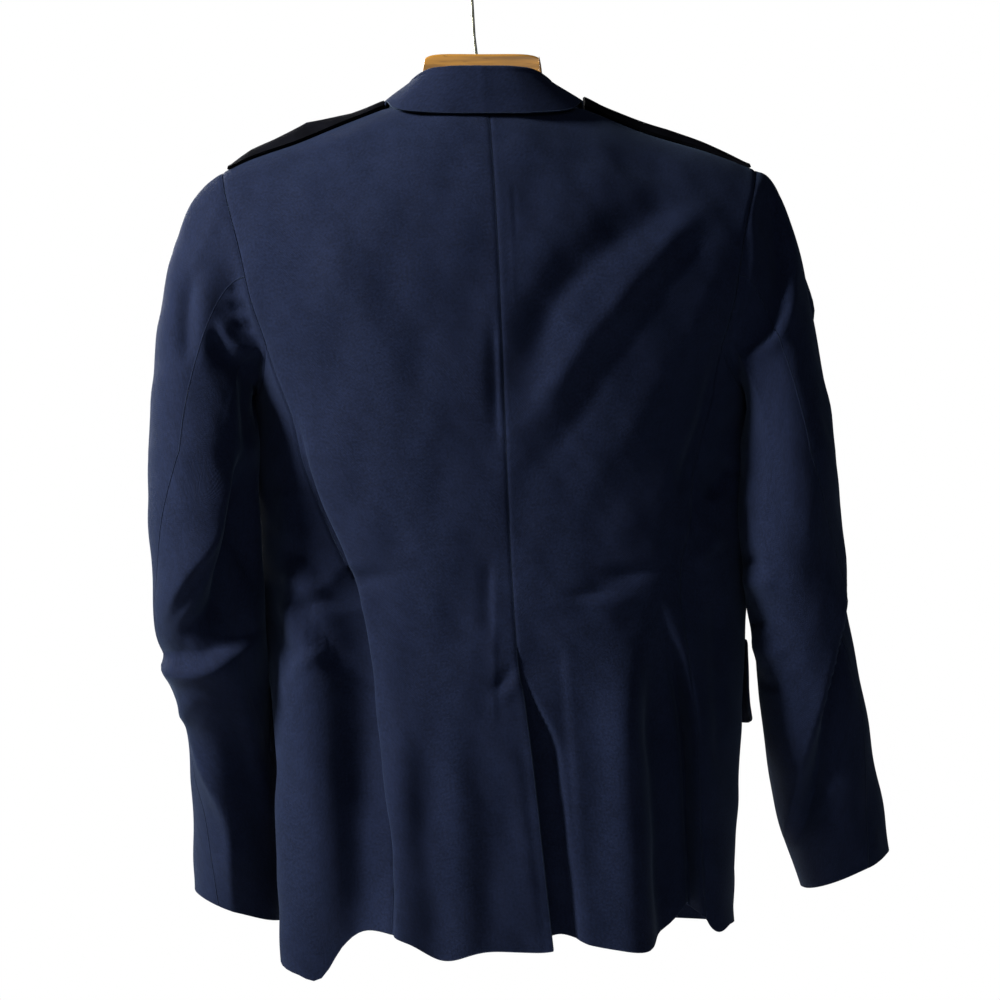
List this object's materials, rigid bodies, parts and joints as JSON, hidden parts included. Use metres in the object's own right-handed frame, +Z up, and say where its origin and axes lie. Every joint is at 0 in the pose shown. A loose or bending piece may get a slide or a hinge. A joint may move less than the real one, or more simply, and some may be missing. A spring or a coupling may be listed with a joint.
{
  "type": "military dress jacket on a hanger",
  "caption": "Single-breasted military dress jacket with turned-down collar, shoulder straps, side panels and centre back vent, hanging on a wooden hanger with a steel hook",
  "frame": {"origin": "the seat of the hanger's hook: the inside top of its bend, where a rail holds it", "axes": "+Z is up; the jacket's front faces -Y and its back faces +Y; the wearer's left side is at +X"},
  "size_m": [0.68, 0.2068, 0.9167],
  "materials": {
    "navy_wool": "matt wool serge, fine light speckle",
    "strap_wool": "matt black cloth",
    "dark_button": "satin, plain",
    "varnished_wood": "clear gloss varnish",
    "steel": "bright wire"
  },
  "bodies": {
    "root": {"back_left": "navy_wool", "back_right": "navy_wool", "collar": "navy_wool", "front_button_1": "dark_button", "front_button_2": "dark_button", "front_button_3": "dark_button", "front_button_4": "dark_button", "front_left": "navy_wool", "front_right": "navy_wool", "hanger": "varnished_wood", "hanger_hook": "steel", "lapel_left": "navy_wool", "lapel_right": "navy_wool", "pocket_flap_left": "navy_wool", "pocket_flap_right": "navy_wool", "shoulder_strap_left": "strap_wool", "shoulder_strap_right": "strap_wool", "side_left": "navy_wool", "side_right": "navy_wool", "sleeve_under_left": "navy_wool", "sleeve_under_right": "navy_wool", "sleeve_upper_left": "navy_wool", "sleeve_upper_right": "navy_wool"}
  },
  "joints": []
}
